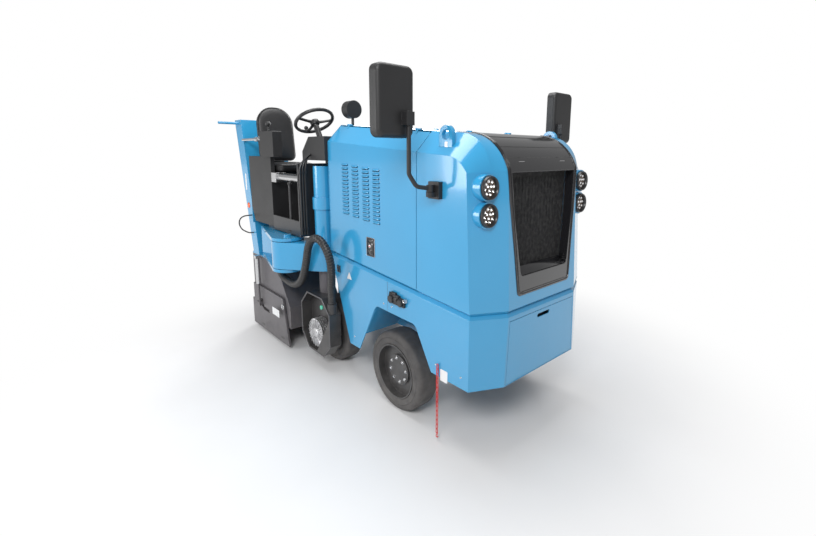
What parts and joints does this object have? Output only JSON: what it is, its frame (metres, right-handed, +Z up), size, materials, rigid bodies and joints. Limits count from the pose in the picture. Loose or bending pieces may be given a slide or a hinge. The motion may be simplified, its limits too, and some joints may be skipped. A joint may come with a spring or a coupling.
{
  "type": "cold planer milling machine",
  "caption": "Compact wheeled road milling machine with a faceted engine hood, rear drum housing, fold-in support wheel, lifting columns and an open operator's seat.",
  "frame": {"origin": "on the floor, under the middle of the machine's overall box", "axes": "+X forwards to the grille, +Y to the machine's left, +Z up"},
  "size_m": [3.6465, 2.118, 2.5215],
  "materials": {
    "blue_paint": "gloss light blue enamel",
    "black_paint": "satin black",
    "gloss_black": "gloss black",
    "dark_steel": "worn dark grey",
    "cast_grey": "cast",
    "bright_steel": "ground steel",
    "motor_alloy": "cast alloy",
    "tyre_rubber": "solid rubber",
    "hose_rubber": "spiral wrapped",
    "black_plastic": "grained",
    "seat_vinyl": "seat vinyl",
    "lamp_glass": "clear lens",
    "red_plastic": "red dome",
    "red_paint": "red enamel",
    "beige_metal": "cooler core"
  },
  "bodies": {
    "root": {"chassis_frame": "blue_paint", "lower_body": "blue_paint", "wheel_liners": "blue_paint", "hood_front": "blue_paint", "hood_top": "blue_paint", "grille_frame": "gloss_black", "grille_mesh": "black_paint", "radiator": "beige_metal", "engine_block": "cast_grey", "front_lamps": "lamp_glass", "lifting_eyes": "blue_paint", "hood_work_lamp": "black_plastic", "mirror_brackets": "black_plastic", "front_axle": "dark_steel", "swing_bracket": "blue_paint", "lift_sleeve_left": "blue_paint", "drum_housing": "dark_steel", "plate_cylinders": "bright_steel", "platform": "black_paint", "side_cabinet": "black_plastic", "side_rail": "bright_steel", "seat_pedestal": "black_paint", "seat_cushion": "seat_vinyl", "seat_back": "seat_vinyl", "control_box": "black_plastic", "steering_console": "black_plastic", "rear_mast": "blue_paint", "beacon": "red_plastic", "mast_cable": "hose_rubber", "guide_chain": "red_paint"},
    "door_right": {"engine_door_right": "blue_paint"},
    "door_left": {"engine_door_left": "blue_paint"},
    "flap": {"front_flap": "blue_paint"},
    "mirror_arm_right": {"mirror_right": "black_plastic"},
    "mirror_arm_left": {"mirror_left": "black_plastic"},
    "steer_hub_right": {"knuckle_right": "dark_steel"},
    "steer_hub_left": {"knuckle_left": "dark_steel"},
    "steer_link": {"tie_rod": "dark_steel"},
    "helm": {"steering_wheel": "black_plastic"},
    "wheel_front_right": {"rim_front_right": "black_paint", "tyre_front_right": "tyre_rubber"},
    "wheel_front_left": {"rim_front_left": "black_paint", "tyre_front_left": "tyre_rubber"},
    "wheel_rear_right": {"rim_rear_right": "black_paint", "tyre_rear_right": "tyre_rubber"},
    "wheel_rear_left": {"rim_rear_left": "black_paint", "tyre_rear_left": "tyre_rubber"},
    "swing": {"swing_arm": "blue_paint", "hose_bundle": "hose_rubber"},
    "column_right": {"lift_leg_right": "dark_steel", "drive_motor_right": "motor_alloy", "motor_guard": "black_paint"},
    "column_left": {"lift_leg_left": "dark_steel", "drive_motor_left": "motor_alloy"},
    "drum": {"milling_drum": "dark_steel"},
    "plate_right": {"side_plate_right": "dark_steel"},
    "plate_left": {"side_plate_left": "dark_steel"},
    "scraper_door": {"scraper": "dark_steel"}
  },
  "joints": [
    {"name": "steer_right", "type": "hinge", "parent": "root", "child": "steer_hub_right", "pos_m": [0.924, -0.415, 0.317], "axis": [0, 0, 1], "range_deg": [-30, 30]},
    {"name": "steer_left", "type": "hinge", "parent": "root", "child": "steer_hub_left", "pos_m": [0.924, 0.415, 0.317], "axis": [0, 0, 1], "range_deg": [-30, 30]},
    {"name": "tie_rod_pin", "type": "hinge", "parent": "steer_hub_right", "child": "steer_link", "pos_m": [0.764, -0.415, 0.25], "axis": [0, 0, 1], "range_deg": [-30, 30]},
    {"name": "steering_wheel_turn", "type": "hinge", "parent": "root", "child": "helm", "pos_m": [-0.39, -0.56, 2.29], "axis": [-0.5433, 0, 0.8396], "range_deg": [-360, 360]},
    {"name": "spin_front_right", "type": "hinge", "parent": "steer_hub_right", "child": "wheel_front_right", "pos_m": [0.924, -0.555, 0.317], "axis": [0, 1, 0], "continuous": true},
    {"name": "spin_front_left", "type": "hinge", "parent": "steer_hub_left", "child": "wheel_front_left", "pos_m": [0.924, 0.555, 0.317], "axis": [0, 1, 0], "continuous": true},
    {"name": "spin_rear_right", "type": "hinge", "parent": "column_right", "child": "wheel_rear_right", "pos_m": [-0.16, -0.5, 0.317], "axis": [0, 1, 0], "continuous": true},
    {"name": "spin_rear_left", "type": "hinge", "parent": "column_left", "child": "wheel_rear_left", "pos_m": [-0.83, 0.55, 0.317], "axis": [0, 1, 0], "continuous": true},
    {"name": "rear_right_swing", "type": "hinge", "parent": "root", "child": "swing", "pos_m": [-0.48, -0.84, 1.05], "axis": [0, 0, -1], "range_deg": [0, 180]},
    {"name": "lift_right", "type": "slide", "parent": "swing", "child": "column_right", "axis": [0, 0, 1], "range_m": [0, 0.18], "deforming": ["hose_bundle"]},
    {"name": "lift_left", "type": "slide", "parent": "root", "child": "column_left", "axis": [0, 0, 1], "range_m": [0, 0.18]},
    {"name": "drum_spin", "type": "hinge", "parent": "root", "child": "drum", "pos_m": [-1.08, -0.525, 0.365], "axis": [0, 1, 0], "continuous": true},
    {"name": "side_plate_right_lift", "type": "slide", "parent": "root", "child": "plate_right", "axis": [0, 0, 1], "range_m": [0, 0.2]},
    {"name": "side_plate_left_lift", "type": "slide", "parent": "root", "child": "plate_left", "axis": [0, 0, 1], "range_m": [0, 0.2]},
    {"name": "scraper_door_swing", "type": "hinge", "parent": "root", "child": "scraper_door", "pos_m": [-1.545, -0.52, 0.5], "axis": [0, 1, 0], "range_deg": [0, 100]},
    {"name": "engine_door_right_open", "type": "hinge", "parent": "root", "child": "door_right", "pos_m": [0.6, -0.508, 2.20218], "axis": [-0.9974, 0, 0.0714], "range_deg": [0, 75]},
    {"name": "engine_door_left_open", "type": "hinge", "parent": "root", "child": "door_left", "pos_m": [0.6, 0.508, 2.20218], "axis": [0.9974, 0, -0.0714], "range_deg": [0, 75]},
    {"name": "front_flap_open", "type": "hinge", "parent": "root", "child": "flap", "pos_m": [1.82, 0, 0.4895], "axis": [0, 1, 0], "range_deg": [0, 90]},
    {"name": "mirror_right_fold", "type": "hinge", "parent": "root", "child": "mirror_arm_right", "pos_m": [1.4, -0.712, 1.79], "axis": [0, 0, 1], "range_deg": [0, 75]},
    {"name": "mirror_left_fold", "type": "hinge", "parent": "root", "child": "mirror_arm_left", "pos_m": [1.4, 0.712, 1.79], "axis": [0, 0, -1], "range_deg": [0, 75]}
  ],
  "couplings": [
    {"joint": "steer_left", "follows": "steer_right", "ratio": 1},
    {"joint": "tie_rod_pin", "follows": "steer_right", "ratio": -1},
    {"joint": "steering_wheel_turn", "follows": "steer_right", "ratio": 12}
  ]
}
